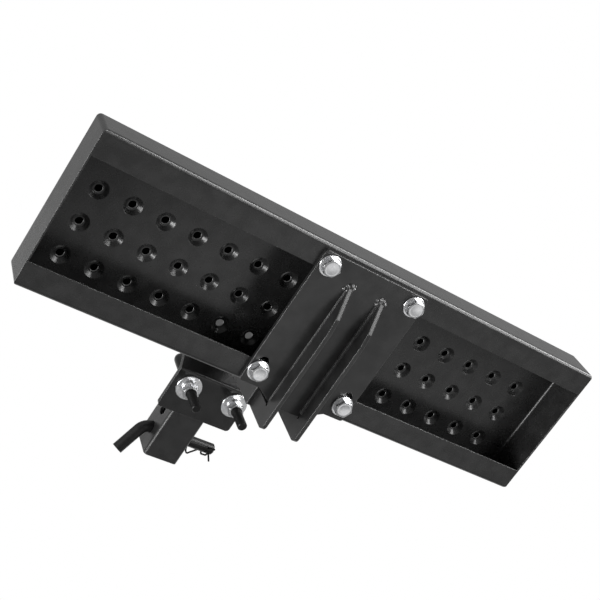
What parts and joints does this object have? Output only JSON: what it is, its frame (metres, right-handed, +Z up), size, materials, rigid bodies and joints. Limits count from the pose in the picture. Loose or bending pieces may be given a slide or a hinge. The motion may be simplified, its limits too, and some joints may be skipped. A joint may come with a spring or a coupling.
{
  "type": "hitch receiver step",
  "caption": "Drop-down step with a long perforated tread on a square shank that slides into a hitch receiver, held by a bent pin and steadied by a U-bolt clamp.",
  "frame": {"origin": "centre of the pinned hole, on the axis of the square shank", "axes": "+Y along the shank towards the vehicle, +X along the tread, +Z up"},
  "size_m": [0.7, 0.4406, 0.2794],
  "materials": {
    "tread_coat": "satin black powder coat",
    "bracket_coat": "satin black powder coat",
    "clamp_coat": "satin black powder coat",
    "pin_coat": "semi-gloss black coat",
    "rod_coat": "semi-gloss black coat on the rod and its threads",
    "clip_wire": "dark spring steel wire",
    "bright_zinc": "bright zinc plate"
  },
  "bodies": {
    "step": {"tread": "tread_coat", "base_plate": "bracket_coat", "arm_left": "bracket_coat", "arm_right": "bracket_coat", "mast": "bracket_coat", "shank": "bracket_coat", "tread_bolt_1": "bright_zinc", "tread_bolt_2": "bright_zinc", "tread_bolt_3": "bright_zinc", "tread_bolt_4": "bright_zinc", "tread_washer_1": "bright_zinc", "tread_washer_2": "bright_zinc", "tread_washer_3": "bright_zinc", "tread_washer_4": "bright_zinc", "tread_nut_1": "bright_zinc", "tread_nut_2": "bright_zinc", "tread_nut_3": "bright_zinc", "tread_nut_4": "bright_zinc"},
    "pin": {"hitch_pin": "pin_coat", "pin_clip": "clip_wire"},
    "u_bolt": {"u_bolt": "rod_coat"},
    "jaw": {"clamp_plate": "clamp_coat", "clamp_washer_left": "bright_zinc", "lock_washer_left": "bright_zinc", "clamp_nut_left": "bright_zinc", "clamp_washer_right": "bright_zinc", "lock_washer_right": "bright_zinc", "clamp_nut_right": "bright_zinc"}
  },
  "joints": [
    {"name": "pin_turn", "type": "hinge", "parent": "step", "child": "pin", "pos_m": [0, 0, 0], "axis": [1, 0, 0], "continuous": true},
    {"name": "clamp_slide", "type": "slide", "parent": "step", "child": "u_bolt", "axis": [0, 1, 0], "range_m": [-0.03, 0.008]},
    {"name": "jaw_travel", "type": "slide", "parent": "u_bolt", "child": "jaw", "axis": [0, 0, 1], "range_m": [-0.025, 0]}
  ]
}
